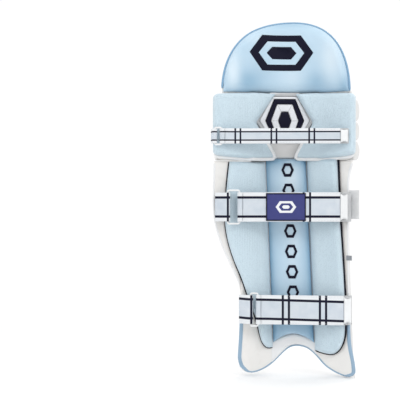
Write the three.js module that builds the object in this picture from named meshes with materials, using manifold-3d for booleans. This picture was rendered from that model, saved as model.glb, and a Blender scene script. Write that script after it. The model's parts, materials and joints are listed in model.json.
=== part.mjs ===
// Cricket batting pad for one leg, as an assembly of separate pieces. Millimetres, +Z up the leg,
// -Y the outer face that meets the ball, +Y the wearer's shin. The calf wing is on the +X side.
import * as THREE from "three";
import { mergeVertices } from "three/addons/utils/BufferGeometryUtils.js";
import Module from "manifold-3d";

const wasm = await Module();
wasm.setup();

// ---- driving dimensions ----
const HEIGHT = 738; // lowest lobe tip to the crown of the top hat
const SHELL_HALF_WIDTH = 145; // half axes of the ellipse that the shell follows in plan
const SHELL_DEPTH = 120;
const FLARE_X = 95; // beyond this the shell runs straight to its rims
const WING_SLOPE = 0.404; // slope of the straight part on the wing side

const BACKING = 2.5; // half thickness of every backing sheet
const GAP = 0.5; // clearance between touching pieces
const PAD = 19; // leg-side padding, measured from the shell's mid surface
const CANE = 21; // outer face of the canes
const CAP = 26; // outer face of the padded caps over the cane tops
const ROLL = 35; // outer face of the knee rolls
const SHIN_FACE_Y = 20; // flat face of the channel pad where the shin rests

const INSTEP_Z = 60; // crown of the arch over the foot
const CANE_END_Z = 137; // where the three middle canes stop above the instep panel
const CAP_Z = [414, 446];
const KNEE_Z = [447, 586];
const ROLL_Z = [[447.5, 492], [493, 532], [533, 577]];
const TOP_HAT_Z = 590;
const CALF_Z = 351; // strap centre lines
const KNEE_STRAP_Z = 495.5;
const ANKLE_Z = 140;
const WIDE_STRAP = 60;
const NARROW_STRAP = 31;
const WEB = 2; // strap webbing thickness

const SEAM = { top: 92.5, bottom: 114, zTop: 447, zBottom: 165 }; // line that the calf wing folds on

// ---- the shell's mid surface in plan ----
const bowlY = (x) => SHELL_DEPTH * (1 - Math.sqrt(1 - (x / SHELL_HALF_WIDTH) ** 2));
const bowlSlope = (x) => {
  const t = x / SHELL_HALF_WIDTH;
  return ((SHELL_DEPTH / SHELL_HALF_WIDTH) * t) / Math.sqrt(1 - t * t);
};

function shellSlope(x) {
  if (x > FLARE_X) return WING_SLOPE;
  return bowlSlope(Math.max(x, -FLARE_X));
}

function shellY(x) {
  const edge = Math.sign(x) * FLARE_X;
  return Math.abs(x) > FLARE_X ? bowlY(edge) + (x - edge) * shellSlope(x) : bowlY(x);
}

// A point that far from the mid surface: positive offsets lie towards the leg.
function shellPoint(x, offset) {
  const slope = shellSlope(x);
  const length = Math.hypot(1, slope);
  return new THREE.Vector2(x - (offset * slope) / length, shellY(x) + offset / length);
}

const seamX = (z) =>
  SEAM.top + ((SEAM.zTop - z) * (SEAM.bottom - SEAM.top)) / (SEAM.zTop - SEAM.zBottom);

// ---- solids ----
function solidOf(geometry) {
  const bare = new THREE.BufferGeometry();
  const source = geometry.index ? geometry.toNonIndexed() : geometry;
  bare.setAttribute("position", source.getAttribute("position"));
  const merged = mergeVertices(bare, 1e-3);
  return new wasm.Manifold(
    new wasm.Mesh({
      numProp: 3,
      vertProperties: merged.attributes.position.array,
      triVerts: new Uint32Array(merged.index.array),
    }),
  );
}

function geometryOf(solid) {
  const mesh = solid.getMesh();
  const geometry = new THREE.BufferGeometry();
  geometry.setAttribute("position", new THREE.BufferAttribute(mesh.vertProperties, 3));
  geometry.setIndex(new THREE.BufferAttribute(mesh.triVerts, 1));
  geometry.computeVertexNormals();
  return geometry;
}

const common = (a, b) => geometryOf(solidOf(a).intersect(solidOf(b)));
const less = (a, b) => geometryOf(solidOf(a).subtract(solidOf(b)));

// A plan shape raised from z0 to z1.
function upright(shape, z0, z1, curveSegments = 6) {
  const geometry = new THREE.ExtrudeGeometry(shape, {
    depth: z1 - z0,
    bevelEnabled: false,
    curveSegments,
  });
  return geometry.translate(0, 0, z0);
}

// A front-view shape carried from y0 to y1.
function through(shape, y0 = -80, y1 = 140, curveSegments = 8) {
  const geometry = new THREE.ExtrudeGeometry(shape, {
    depth: y1 - y0,
    bevelEnabled: false,
    curveSegments,
  });
  return geometry.rotateX(Math.PI / 2).translate(0, y1, 0);
}

const vectors = (points) => points.map(([x, y]) => new THREE.Vector2(x, y));
const polygon = (points) => new THREE.Shape(vectors(points));

// The plan section between two offsets of the shell.
function shellSection(x0, x1, inner, outer, steps = 18) {
  const xs = Array.from({ length: steps + 1 }, (_, i) => x0 + ((x1 - x0) * i) / steps);
  return new THREE.Shape([
    ...xs.map((x) => shellPoint(x, inner)),
    ...xs.reverse().map((x) => shellPoint(x, outer)),
  ]);
}

// A curved panel: part of the shell between two offsets, cut to a front-view outline.
function panel(x0, x1, inner, outer, outline, steps) {
  return common(upright(shellSection(x0, x1, inner, outer, steps), -5, HEIGHT + 5), through(outline));
}

// A webbing band that follows plan points, centred at z.
function band(points, width, z, thickness = WEB) {
  const at = vectors(points);
  const side = (sign) =>
    at.map((p, i) => {
      const before = at[Math.max(i - 1, 0)];
      const after = at[Math.min(i + 1, at.length - 1)];
      const incoming = p.clone().sub(before).normalize();
      const outgoing = after.clone().sub(p).normalize();
      const along = incoming.clone().add(outgoing).normalize();
      const bend = i > 0 && i < at.length - 1 ? 1 / Math.max(0.5, along.dot(outgoing)) : 1;
      return new THREE.Vector2(-along.y, along.x).multiplyScalar((sign * thickness * bend) / 2).add(p);
    });
  return upright(new THREE.Shape([...side(1), ...side(-1).reverse()]), z - width / 2, z + width / 2);
}

// ---- materials ----
const material = (color, roughness, metalness = 0) =>
  new THREE.MeshStandardMaterial({ color, roughness, metalness });
const WHITE_COVER = material(0xeef0f0, 0.55);
const FOAM = material(0xe9e4d2, 0.9);
const RATTAN = material(0xc9a66b, 0.6);
const BLUE_MESH = material(0xc9dde8, 0.85);
const BLUE_SATIN = material(0x9fcbe8, 0.35);
const WEBBING = material(0xdfe7ee, 0.8);
const LOOP_PILE = material(0xe6e6e4, 0.95);
const WHITE_PLASTIC = material(0xf4f4f4, 0.3);
const SILVER = material(0xc4c7ca, 0.3, 0.7);
const NAVY = material(0x1d2447, 0.45);

const pad = new THREE.Group();

function add(name, geometry, look) {
  const mesh = new THREE.Mesh(geometry, look);
  mesh.name = name;
  pad.add(mesh);
  return mesh;
}

// ---- front-view outlines ----
const LOBES = [
  [-109, 120], [-113, 62], [-120, 32], [-122, 12], [-118, 4], [-108, 0.4], [-89, 5], [-72, 13], [-59, 22],
  [-47, 36], [-34, 49], [-21, 57], [-4, INSTEP_Z], [11, 57.5], [23, 49], [36, 36], [48, 24], [65, 14], [85, 9],
  [103, 12], [115, 22], [118, 37], [116, 70], [113, 115],
];

function shinOutline(raise = 0, side = 0) {
  const shape = new THREE.Shape();
  shape.moveTo(-118 + side, 446.5);
  shape.quadraticCurveTo(-110 + side, 430, -109 + side, 400);
  shape.lineTo(LOBES[0][0] + side, LOBES[0][1]);
  const inwards = ([x, z]) => {
    const onRim = Math.abs(x) > 50;
    return [x - (onRim ? side * Math.sign(x) : 0), z + raise];
  };
  shape.splineThru(vectors(LOBES.slice(1).map(inwards)));
  shape.lineTo(SEAM.bottom - GAP, SEAM.zBottom);
  shape.lineTo(SEAM.top - GAP, 446.5);
  return shape;
}

function topHatOutline(inset = 0, bottom = TOP_HAT_Z) {
  const shape = new THREE.Shape();
  shape.moveTo(151 - inset, bottom);
  shape.bezierCurveTo(151 - inset, 655, 120 - inset, HEIGHT - inset, 5, HEIGHT - inset);
  shape.bezierCurveTo(-92 + inset, HEIGHT - inset, -110 + inset, 648, -111 + inset, bottom);
  return shape;
}

const WING_EDGE = [[168, 400], [168, 325], [160, 297], [148, 262], [131, 225], [119, 192]];

function wingOutline(inset = 0) {
  const shape = new THREE.Shape();
  shape.moveTo(seamX(445.5) + GAP + inset, 445.5);
  shape.lineTo(167 - inset, 445.5);
  shape.lineTo(WING_EDGE[0][0] - inset, WING_EDGE[0][1]);
  shape.splineThru(vectors(WING_EDGE.slice(1).map(([x, z]) => [x - inset, z])));
  shape.lineTo(SEAM.bottom + GAP, SEAM.zBottom + 2);
  return shape;
}

// ---- backing sheets ----
add("shin_backing", panel(-123, 118.5, -BACKING, BACKING, shinOutline()), FOAM);
const kneeOutline = polygon([[-123, KNEE_Z[0]], [164, KNEE_Z[0]], [164, KNEE_Z[1]], [-123, KNEE_Z[1]]]);
add("knee_backing", panel(-122, 163, -BACKING, BACKING, kneeOutline), FOAM);
add("top_hat_backing", panel(-112, 151, -BACKING, BACKING, topHatOutline()), FOAM);
add("wing_backing", panel(86, 169, -9, BACKING, wingOutline(), 8), FOAM);

// ---- canes: a padded cover with a rattan rod inside ----
// Seams between the canes, as positions across the shell, at heights up the pad.
const CANE_SEAMS = [
  { z: CAP_Z[0] - GAP, seams: [-103, -81.5, -57.5, -30, 3, 36, 63, 88] },
  { z: 224, seams: [-105, -81.5, -54.5, -23, 9.5, 40, 70, 95] },
  { z: 2, seams: [-114, -83, -49, -16, 17, 52, 85, 111] },
];
const TOP_SEAMS = [
  { z: HEIGHT, seams: [-109, -99, -78, -36, -16, 17, 47, 79] },
  { z: 650, seams: [-109, -92, -66, -37, -13.5, 18, 50, 75] },
  { z: 584, seams: [-109, -92, -68.5, -41.5, -12.5, 22, 53, 78] },
];
const ROD_R = 4.2;

// Elliptical cane section, as a ring of points at its height, reaching out to the offset face.
function caneRing(level, i, face, sides = 14) {
  const inner = -BACKING - GAP;
  const left = shellPoint(level.seams[i], (inner - face) / 2);
  const right = shellPoint(level.seams[i + 1], (inner - face) / 2);
  const middle = (level.seams[i] + level.seams[i + 1]) / 2;
  const centre = shellPoint(middle, (inner - face) / 2);
  const across = right.clone().sub(left);
  const half = across.length() / 2 - GAP;
  across.normalize();
  const out = new THREE.Vector2(across.y, -across.x);
  const ring = (a, b, n) =>
    Array.from({ length: n }, (_, k) => {
      const t = (2 * Math.PI * k) / n;
      const side = across.clone().multiplyScalar(a * Math.cos(t));
      const depth = out.clone().multiplyScalar(b * Math.sin(t));
      const at = centre.clone().add(side).add(depth);
      return new THREE.Vector3(at.x, at.y, level.z);
    });
  return {
    cover: ring(half, (face + inner) / 2, sides),
    bore: ring(ROD_R + GAP, ROD_R + GAP, 8),
    rod: ring(ROD_R, ROD_R, 8),
  };
}

// A solid through convex rings of equal count, listed from the top down.
function loft(rings) {
  const n = rings[0].length;
  const index = [];
  for (let r = 0; r + 1 < rings.length; r++) {
    for (let k = 0; k < n; k++) {
      const a = r * n + k;
      const b = r * n + ((k + 1) % n);
      index.push(a, b, b + n, a, b + n, a + n);
    }
  }
  const last = (rings.length - 1) * n;
  for (let k = 1; k + 1 < n; k++) index.push(0, k + 1, k, last, last + k, last + k + 1);
  const geometry = new THREE.BufferGeometry().setFromPoints(rings.flat());
  geometry.setIndex(index);
  geometry.computeVertexNormals();
  return geometry;
}

// The ring at another height, on the straight lines between two rings.
function ringAt(upper, lower, z) {
  const t = (upper[0].z - z) / (upper[0].z - lower[0].z);
  return upper.map((p, k) => p.clone().lerp(lower[k], t));
}

const caneFloor = through(shinOutline(7, 4));
for (let i = 0; i < 7; i++) {
  const short = i >= 2 && i <= 4;
  const [top, waist, foot] = CANE_SEAMS.map((level) => caneRing(level, i, CANE));
  const run = (kind, zTop, zBottom) =>
    loft([
      ringAt(top[kind], waist[kind], zTop),
      waist[kind],
      ringAt(waist[kind], foot[kind], zBottom),
    ]);
  const zTop = CANE_SEAMS[0].z;
  const zBottom = short ? CANE_END_Z : 2;
  const cover = less(run("cover", zTop, zBottom), run("bore", zTop + 1, zBottom - 1));
  add(`shin_cane_cover_${i + 1}`, short ? cover : common(cover, caneFloor), WHITE_COVER);
  add(`shin_cane_rod_${i + 1}`, run("rod", zTop - 4, short ? CANE_END_Z + 6 : 46), RATTAN);
}

const crownFloor = through(topHatOutline(6, 584));
for (let i = 0; i < 7; i++) {
  const rings = TOP_SEAMS.map((level) => caneRing(level, i, CANE - 2).cover);
  add(`top_hat_cane_${i + 1}`, common(loft(rings), crownFloor), WHITE_COVER);
}
const sidePad = panel(84, 146, -BACKING - GAP - 7, -BACKING - GAP, topHatOutline(5, 592), 6);
add("top_hat_side_pad", sidePad, WHITE_COVER);

// ---- padded caps over the cane tops, sewn as one row ----
function capRow() {
  const outwards = (seams) => seams.map((x, i) => x + (i - 3.5) * 0.3);
  let row = solidOf(upright(shellSection(-104, 88, -10, -BACKING - GAP), ...CAP_Z));
  for (let i = 0; i < 7; i++) {
    const rings = [...CAP_Z].reverse().map((z) => {
      return caneRing({ z, seams: outwards(CANE_SEAMS[0].seams) }, i, CAP).cover;
    });
    row = row.add(solidOf(loft(rings)));
  }
  return geometryOf(row);
}
add("cane_cap_row", capRow(), WHITE_COVER);

// ---- knee rolls: a bent sleeve round a foam core ----
function rollSection(halfDepth, halfHeight, sides) {
  const corner = 0.7; // squareness of the section
  return Array.from({ length: sides }, (_, i) => {
    const t = (2 * Math.PI * i) / sides;
    const c = Math.cos(t);
    const s = Math.sin(t);
    return new THREE.Vector2(
      halfHeight * Math.sign(c) * Math.abs(c) ** corner,
      halfDepth * Math.sign(s) * Math.abs(s) ** corner,
    );
  });
}

function roll(z0, z1, x0, x1, wall) {
  const middle = -(ROLL + BACKING + 2 * GAP) / 2;
  const deep = (ROLL - BACKING - 2 * GAP) / 2;
  const high = (z1 - z0) / 2;
  const steps = 14;
  const points = Array.from({ length: steps + 1 }, (_, i) => {
    const p = shellPoint(x0 + ((x1 - x0) * i) / steps, middle);
    return new THREE.Vector3(p.x, p.y, (z0 + z1) / 2);
  });
  const path = new THREE.CatmullRomCurve3(points);
  const tube = (section, hole) => {
    const shape = new THREE.Shape(section);
    if (hole) shape.holes.push(new THREE.Path(hole));
    return new THREE.ExtrudeGeometry(shape, { steps, extrudePath: path, bevelEnabled: false });
  };
  if (wall) {
    return tube(rollSection(deep, high, 14), rollSection(deep - wall, high - wall, 8));
  }
  return tube(rollSection(deep - 4.5, high - 4.5, 8));
}

["lower", "middle", "upper"].forEach((level, i) => {
  add(`knee_roll_${level}`, roll(...ROLL_Z[i], -103, 150, 4), WHITE_COVER);
  add(`knee_roll_core_${level}`, roll(...ROLL_Z[i], -99, 146, 0), FOAM);
});

// ---- leg-side padding ----
const CHANNEL = { top: [-22, 63], bottom: [-40, 47] }; // side walls at z 450 and z 60
const channelWall = (side, z) =>
  CHANNEL.bottom[side] + ((CHANNEL.top[side] - CHANNEL.bottom[side]) * (z - INSTEP_Z)) / (450 - INSTEP_Z);

function channelPad() {
  const outline = new THREE.Shape();
  outline.moveTo(channelWall(0, 452) + GAP, 452);
  outline.lineTo(channelWall(0, 66) + GAP, 66);
  outline.quadraticCurveTo(-22, 84, -2, 85);
  outline.quadraticCurveTo(25, 86, channelWall(1, 68) - GAP, 68);
  outline.lineTo(channelWall(1, 452) - GAP, 452);
  const xs = Array.from({ length: 13 }, (_, i) => -42 + (107 * i) / 12);
  const plan = new THREE.Shape([
    ...xs.map((x) => shellPoint(x, BACKING + GAP)),
    new THREE.Vector2(64, SHIN_FACE_Y),
    new THREE.Vector2(-41, SHIN_FACE_Y),
  ]);
  return common(upright(plan, 0, 460), through(outline));
}
add("shin_channel_pad", channelPad(), BLUE_SATIN);

const OUTER_BOLSTER_EDGE = [[-92, 318], [-97, 238], [-101, 160], [-102, 101], [-97, 67], [-83, 53], [-64, 45]];
const WING_BOLSTER_EDGE = [[144, 330], [138, 281], [125.5, 238], [114, 205]];

function outerBolster() {
  const shape = new THREE.Shape();
  shape.moveTo(channelWall(0, 452) - GAP, 452);
  shape.lineTo(-86, 452);
  shape.splineThru(vectors(OUTER_BOLSTER_EDGE));
  shape.quadraticCurveTo(-45, 42, channelWall(0, 66) - GAP, 58);
  return panel(-118, -14, BACKING + GAP, PAD, shape, 10);
}

function wingSideBolster(onWing) {
  const shape = new THREE.Shape();
  if (onWing) {
    shape.moveTo(seamX(445) + GAP, 445);
    shape.lineTo(135, 445);
    shape.splineThru(vectors(WING_BOLSTER_EDGE));
    return panel(84, 158, BACKING + GAP, PAD, shape, 8);
  }
  shape.moveTo(channelWall(1, 452) + GAP, 452);
  shape.lineTo(channelWall(1, 66) + GAP, 57);
  shape.quadraticCurveTo(63, 56, 70, 72);
  shape.lineTo(103, 178.7);
  shape.lineTo(seamX(200) - GAP, 200);
  shape.lineTo(seamX(452) - GAP, 452);
  return panel(38, 124, BACKING + GAP, PAD, shape, 10);
}
add("shin_bolster_outer", outerBolster(), BLUE_MESH);
add("shin_bolster_wing_side", wingSideBolster(false), BLUE_MESH);
add("wing_bolster", wingSideBolster(true), BLUE_MESH);
add("top_hat_lining", panel(-112, 151, BACKING + GAP, 15, topHatOutline(3)), BLUE_SATIN);

// ---- knee locator: a moulded cup between two padded flaps ----
const CUP_X = 21;
const CUP = [[-21, 590], [21, 590], [58, 525], [17, 452], [-17, 452], [-58, 525]];
const cupOutline = (grow) =>
  polygon(CUP.map(([x, z]) => [CUP_X + x + Math.sign(x) * grow, Math.max(453, Math.min(z, 585))]));
add("knee_cup", panel(-55, 100, BACKING + GAP, 13, cupOutline(6), 12), SILVER);
add("knee_flap_wing_side", panel(20, 168, 14, 26,
  polygon([[40.5, 585], [79, 525], [39.5, 453.5], [166, 453.5], [166, 585]]), 12), BLUE_MESH);
add("knee_flap_outer", panel(-121, 22, 14, 26,
  polygon([[0.5, 585], [-33, 525], [3, 453.5], [-118, 453.5], [-118, 585]]), 12), BLUE_MESH);

// ---- instep panel and badge ----
function instepPanel() {
  const shape = new THREE.Shape();
  shape.moveTo(-51, CANE_END_Z - GAP);
  shape.lineTo(-51, 44);
  shape.splineThru(vectors([[-38, 56], [-22, 65], [-4, 68], [12, 65.5], [26, 57]]));
  shape.lineTo(36, 50);
  shape.lineTo(36, CANE_END_Z - GAP);
  return shape;
}
add("instep_panel", panel(-56, 40, -9, -BACKING - GAP, instepPanel(), 10), WHITE_COVER);
function badge() {
  const shape = new THREE.Shape();
  shape.moveTo(-38, 103);
  shape.quadraticCurveTo(-6, 113, 26, 103);
  shape.lineTo(26, 82);
  shape.quadraticCurveTo(-6, 72, -38, 82);
  return shape;
}
add("instep_badge", panel(-40, 30, -12, -9 - GAP, badge(), 8), SILVER);

// ---- straps ----
// Each strap runs from its sewn anchor at the outer rim to a ring on the wing side, turns round the
// ring's near bar and comes back over itself as a free flap closed by hook and loop. All points are
// in plan: the anchor on the rim, the crest where the strap leaves the padding, the near bar, and
// the two sewn ends of the tab that holds the ring.
const STRAPS = {
  knee: { z: KNEE_STRAP_Z, width: NARROW_STRAP, ring: [18.5, 38], flapEnd: -91,
    anchor: [-121, 62], crest: [-102, 77], bar: [149.5, 90], tab: [[168, 69], [172, 74]] },
  calf: { z: CALF_Z, width: WIDE_STRAP, ring: [28, 72], flapEnd: -91,
    anchor: [-113, 50], crest: [-96, 65], bar: [114, 77], tab: [[162, 67], [164, 73]] },
  ankle: { z: ANKLE_Z, width: WIDE_STRAP, ring: [19, 71], flapEnd: -98,
    anchor: [-114, 50], crest: [-102, 66], bar: [77, 60.5], tab: [[114, 46], [116, 51]] },
};
const BAR = 4; // ring bar, square section
const TURN = BAR / 2 + WEB / 2 + GAP; // webbing mid line round a bar
const LOOSE = TURN + GAP; // the same for the tab, in which the ring swings

function ringFrame(strap) {
  const [w, h] = strap.ring;
  const shape = polygon([[-w / 2, -h / 2], [w / 2, -h / 2], [w / 2, h / 2], [-w / 2, h / 2]]);
  const slotX = w / 2 - BAR;
  const slotZ = strap.width / 2 + 1.2;
  const slot = [[-slotX, -slotZ], [-slotX, slotZ], [slotX, slotZ], [slotX, -slotZ]];
  shape.holes.push(new THREE.Path(vectors(slot)));
  return through(shape, -BAR / 2, BAR / 2);
}

for (const [name, strap] of Object.entries(STRAPS)) {
  const bar = new THREE.Vector2(...strap.bar);
  const crest = new THREE.Vector2(...strap.crest);
  const along = bar.clone().sub(crest).normalize(); // from the outer rim towards the wing side
  const out = new THREE.Vector2(-along.y, along.x); // away from the leg space
  const span = bar.distanceTo(crest);
  const far = strap.ring[0] - BAR;
  const at = (s, n) => bar.clone().addScaledVector(along, s).addScaledVector(out, n).toArray();
  const web = (points, width = strap.width, thickness = WEB) => band(points, width, strap.z, thickness);

  // The webbing's way round a bar: from beneath, past its facing side, to above.
  const hairpin = (s, facing, turn) => [
    at(s + facing * (turn - 1), -turn),
    at(s + facing * turn, 1 - turn),
    at(s + facing * turn, turn - 1),
    at(s + facing * (turn - 1), turn),
  ];

  const turned = [at(-6, -TURN), ...hairpin(0, 1, TURN), at(-6, TURN)];
  if (name === "calf") {
    // The wing draws this strap through its ring, so the long run passes under the turned end.
    const under = TURN + WEB + 2 * GAP;
    add("calf_strap_base", web([strap.anchor, at(-span, -under), at(-3, -under)]), LOOP_PILE);
    add("calf_strap_turn", web([at(-22, -TURN), ...turned]), LOOP_PILE);
  } else {
    add(`${name}_strap_base`, web([strap.anchor, at(-span, -TURN), ...turned]), LOOP_PILE);
  }

  const ring = add(`${name}_ring`, ringFrame(strap), WHITE_PLASTIC);
  ring.position.set(...at(far / 2, 0), strap.z);
  ring.rotation.z = Math.atan2(along.y, along.x);

  const [root, end] = strap.tab;
  const tab = [root, at(far + 4, -LOOSE), ...hairpin(far, -1, LOOSE), at(far + 4, LOOSE), end];
  add(`${name}_ring_tab`, web(tab, strap.width - 1), WEBBING);

  const length = bar.x - strap.flapEnd;
  const lap = GAP + WEB - TURN; // mid line of the flap where it lies on the base
  add(`${name}_strap_flap`, web([at(-6.6, TURN), at(-24, lap), at(-length, lap)]), WEBBING);
  const tip = [at(-length - GAP, lap + 0.5), at(-length - 14, lap + 0.5)];
  add(`${name}_strap_tip`, web(tip, strap.width - 4, WEB + 1), WHITE_PLASTIC);
  if (name === "calf") {
    const label = lap + WEB / 2 + 1;
    add("calf_strap_label", web([at(-54, label), at(-135, label)], 57, 1.2), NAVY);
  }
}

// The origin is the point on the channel pad where the shin rests, level with the calf strap.
pad.position.set(0, -SHIN_FACE_Y, -CALF_Z);

export default pad;
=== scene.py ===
"""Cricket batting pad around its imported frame. Lengths in the helpers are millimetres in the
part's own drawing frame: X across the pad, plan Y through it and height z above the lowest lobe."""
import json
import math

import bmesh
import bpy
import numpy as np
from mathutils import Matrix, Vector

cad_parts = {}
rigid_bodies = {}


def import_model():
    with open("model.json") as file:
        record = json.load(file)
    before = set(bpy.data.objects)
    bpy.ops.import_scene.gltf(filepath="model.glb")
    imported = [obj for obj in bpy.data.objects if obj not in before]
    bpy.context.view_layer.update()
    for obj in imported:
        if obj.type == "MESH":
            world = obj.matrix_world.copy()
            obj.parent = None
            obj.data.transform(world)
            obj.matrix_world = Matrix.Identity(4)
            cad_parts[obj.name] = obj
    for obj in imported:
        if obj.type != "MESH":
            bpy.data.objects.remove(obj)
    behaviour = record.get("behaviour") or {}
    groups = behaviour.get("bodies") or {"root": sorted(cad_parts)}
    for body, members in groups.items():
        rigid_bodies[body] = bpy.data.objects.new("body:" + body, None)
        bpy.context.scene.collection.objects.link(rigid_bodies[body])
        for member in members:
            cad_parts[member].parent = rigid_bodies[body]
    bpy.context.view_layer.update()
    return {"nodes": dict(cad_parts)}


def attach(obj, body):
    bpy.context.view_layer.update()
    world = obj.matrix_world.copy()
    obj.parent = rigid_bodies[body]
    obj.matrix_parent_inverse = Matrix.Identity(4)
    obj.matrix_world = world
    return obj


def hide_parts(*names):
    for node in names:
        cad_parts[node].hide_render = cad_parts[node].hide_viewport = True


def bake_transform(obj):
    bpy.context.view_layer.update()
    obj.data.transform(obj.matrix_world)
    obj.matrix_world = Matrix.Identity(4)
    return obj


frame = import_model()

# ---------------------------------------------------------------- frame and shell
SHIN_FACE_Y = 20.0
CALF_Z = 351.0
FLARE_X = 95.0
WING_SLOPE = 0.404
HALF_WIDTH = 145.0
DEPTH = 120.0
BACK = 3.0  # where the sewn pieces begin, either side of the shell's mid surface
CROWN_Z = 738.0
TOP_Z = 590.0


def eased(v):
    """A soft step from 0 to 1."""
    v = np.clip(v, 0, 1)
    return v * v * (3 - 2 * v)


grid_x = np.linspace(-160.0, 210.0, 1481)
inside = np.clip(grid_x, -FLARE_X, FLARE_X) / HALF_WIDTH
bowl = DEPTH / HALF_WIDTH * inside / np.sqrt(1 - inside**2)
grid_slope = bowl + (WING_SLOPE - bowl) * eased((grid_x - FLARE_X + 8) / 16)
grid_y = np.concatenate([[0], np.cumsum((grid_slope[1:] + grid_slope[:-1]) / 2 * np.diff(grid_x))])
grid_y -= np.interp(0.0, grid_x, grid_y)


def one_shape(*values):
    return np.broadcast_arrays(*(np.asarray(v, float) for v in values))


def shell(x, z, offset):
    """Row-frame points, in metres, over front-view positions x, z at an offset from the mid surface."""
    x, z, offset = one_shape(x, z, offset)
    mid = x.copy()
    for _ in range(12):
        slope = np.interp(mid, grid_x, grid_slope)
        mid = 0.5 * mid + 0.5 * (x + offset * slope / np.sqrt(1 + slope**2))
    slope = np.interp(mid, grid_x, grid_slope)
    y = np.interp(mid, grid_x, grid_y) + offset / np.sqrt(1 + slope**2)
    return row(np.stack([x, y, z], axis=-1))


def skin(mid, z, offset):
    """The same for positions along the mid surface, the offset taken square to it."""
    mid, z, offset = one_shape(mid, z, offset)
    slope = np.interp(mid, grid_x, grid_slope)
    root = np.sqrt(1 + slope**2)
    y = np.interp(mid, grid_x, grid_y) + offset / root
    return row(np.stack([mid - offset * slope / root, y, z], axis=-1))


def row(points):
    """Drawing-frame millimetres to row-frame metres."""
    return (np.asarray(points, float) - (0.0, SHIN_FACE_Y, CALF_Z)) / 1000.0


def in_order(xs, ys):
    order = np.argsort(xs)
    return np.asarray(xs, float)[order], np.asarray(ys, float)[order]


def line(xs, ys):
    """A function through points, straight between them."""
    a, b = in_order(xs, ys)
    return lambda v: np.interp(v, a, b)


def smooth_line(xs, ys):
    """A function through points, rounded at them."""
    a, b = in_order(xs, ys)
    slopes = np.gradient(b, a)

    def value(v):
        v = np.clip(v, a[0], a[-1])
        k = np.clip(np.searchsorted(a, v) - 1, 0, len(a) - 2)
        h = a[k + 1] - a[k]
        t = (v - a[k]) / h
        h00, h10 = 2 * t**3 - 3 * t**2 + 1, t**3 - 2 * t**2 + t
        h01, h11 = -2 * t**3 + 3 * t**2, t**3 - t**2
        return h00 * b[k] + h10 * h * slopes[k] + h01 * b[k + 1] + h11 * h * slopes[k + 1]

    return value


def wave_noise(x, z, scale, seed):
    """A repeatable soft noise between about -1 and 1, from turned sine waves."""
    rng = np.random.default_rng(seed)
    total = np.zeros_like(np.asarray(x, float) + np.asarray(z, float))
    for k in range(6):
        angle, phase = rng.uniform(0, math.tau), rng.uniform(0, math.tau)
        f = math.tau / scale * (0.6 + 0.35 * k)
        total = total + np.sin((x * math.cos(angle) + z * math.sin(angle)) * f + phase) / (1 + 0.5 * k)
    return total / 3.0


# ---------------------------------------------------------------- meshes
def new_object(name, verts, faces, material):
    mesh = bpy.data.meshes.new(name)
    mesh.from_pydata([tuple(v) for v in verts], [], [tuple(f) for f in faces])
    bm = bmesh.new()
    bm.from_mesh(mesh)
    bmesh.ops.remove_doubles(bm, verts=bm.verts, dist=1e-6)
    bmesh.ops.dissolve_degenerate(bm, edges=bm.edges, dist=1e-6)
    bmesh.ops.recalc_face_normals(bm, faces=bm.faces)
    bm.to_mesh(mesh)
    bm.free()
    mesh.polygons.foreach_set("use_smooth", [True] * len(mesh.polygons))
    mesh.materials.append(material)
    obj = bpy.data.objects.new(name, mesh)
    bpy.context.scene.collection.objects.link(obj)
    return obj


def join(name, objects):
    """Several objects made into one."""
    for o in bpy.context.view_layer.objects:
        o.select_set(o in objects)
    bpy.context.view_layer.objects.active = objects[0]
    bpy.ops.object.join()
    objects[0].name = name
    objects[0].data.name = name
    return objects[0]


def between_grids(front, back):
    """Vertices and faces of the closed solid between two grids of points."""
    rows, cols = front.shape[:2]
    count = rows * cols
    verts = np.concatenate([front.reshape(-1, 3), back.reshape(-1, 3)])
    at = np.arange(count).reshape(rows, cols)
    a, b, c, d = at[:-1, :-1], at[:-1, 1:], at[1:, 1:], at[1:, :-1]
    faces = [np.stack([a, b, c, d], -1).reshape(-1, 4)]
    faces.append(np.stack([d, c, b, a], -1).reshape(-1, 4) + count)
    rim = np.concatenate([at[0, :-1], at[:-1, -1], at[-1, :0:-1], at[:0:-1, 0]])
    after = np.roll(rim, -1)
    faces.append(np.stack([rim, rim + count, after + count, after], -1))
    return verts, np.concatenate(faces)


def rounding(distance, radius, power=2.0):
    u = np.clip(distance / radius, 0, 1)
    return (1 - (1 - u) ** power) ** (1 / power)


def spread(length, step, radius):
    """Positions from 0 to 1 along a length, closer together within radius of both ends."""
    near = radius * (1 - np.cos(np.linspace(0, math.pi / 2, 7)))
    near = near[near < length * 0.45]
    middle = np.linspace(near[-1], length - near[-1], max(3, int(length / step)))
    return np.concatenate([near[:-1], middle, (length - near[:-1])[::-1]]) / length


def steepness(values, x):
    """Share of a vertical distance that is square to an edge which rises or falls over x."""
    slope = np.gradient(values) / np.maximum(np.abs(np.gradient(x)), 1e-4)
    return 1 / np.sqrt(1 + slope**2)


def as_function(value):
    return value if callable(value) else (lambda v: np.full_like(v, value))


def panel_grid(left, right, low, high, cols, step, edge):
    """Positions over a panel, their distances from its sides and ends, and its half width."""
    left, right, low, high = (as_function(v) for v in (left, right, low, high))
    s = (1 - np.cos(np.linspace(0, math.pi, cols))) / 2
    z_low, z_high = low(s), high(s)
    t = spread(float(np.max(z_high - z_low)), step, edge)
    z = z_low[None, :] + (z_high - z_low)[None, :] * t[:, None]
    x0, x1 = left(z), right(z)
    x = x0 + (x1 - x0) * s[None, :]
    across = np.minimum(x - x0, x1 - x)
    along = np.minimum((z - z_low) * steepness(z_low, x[0]), (z_high - z) * steepness(z_high, x[-1]))
    return x, z, across, along, np.maximum((x1 - x0) / 2, 0.1)


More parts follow.
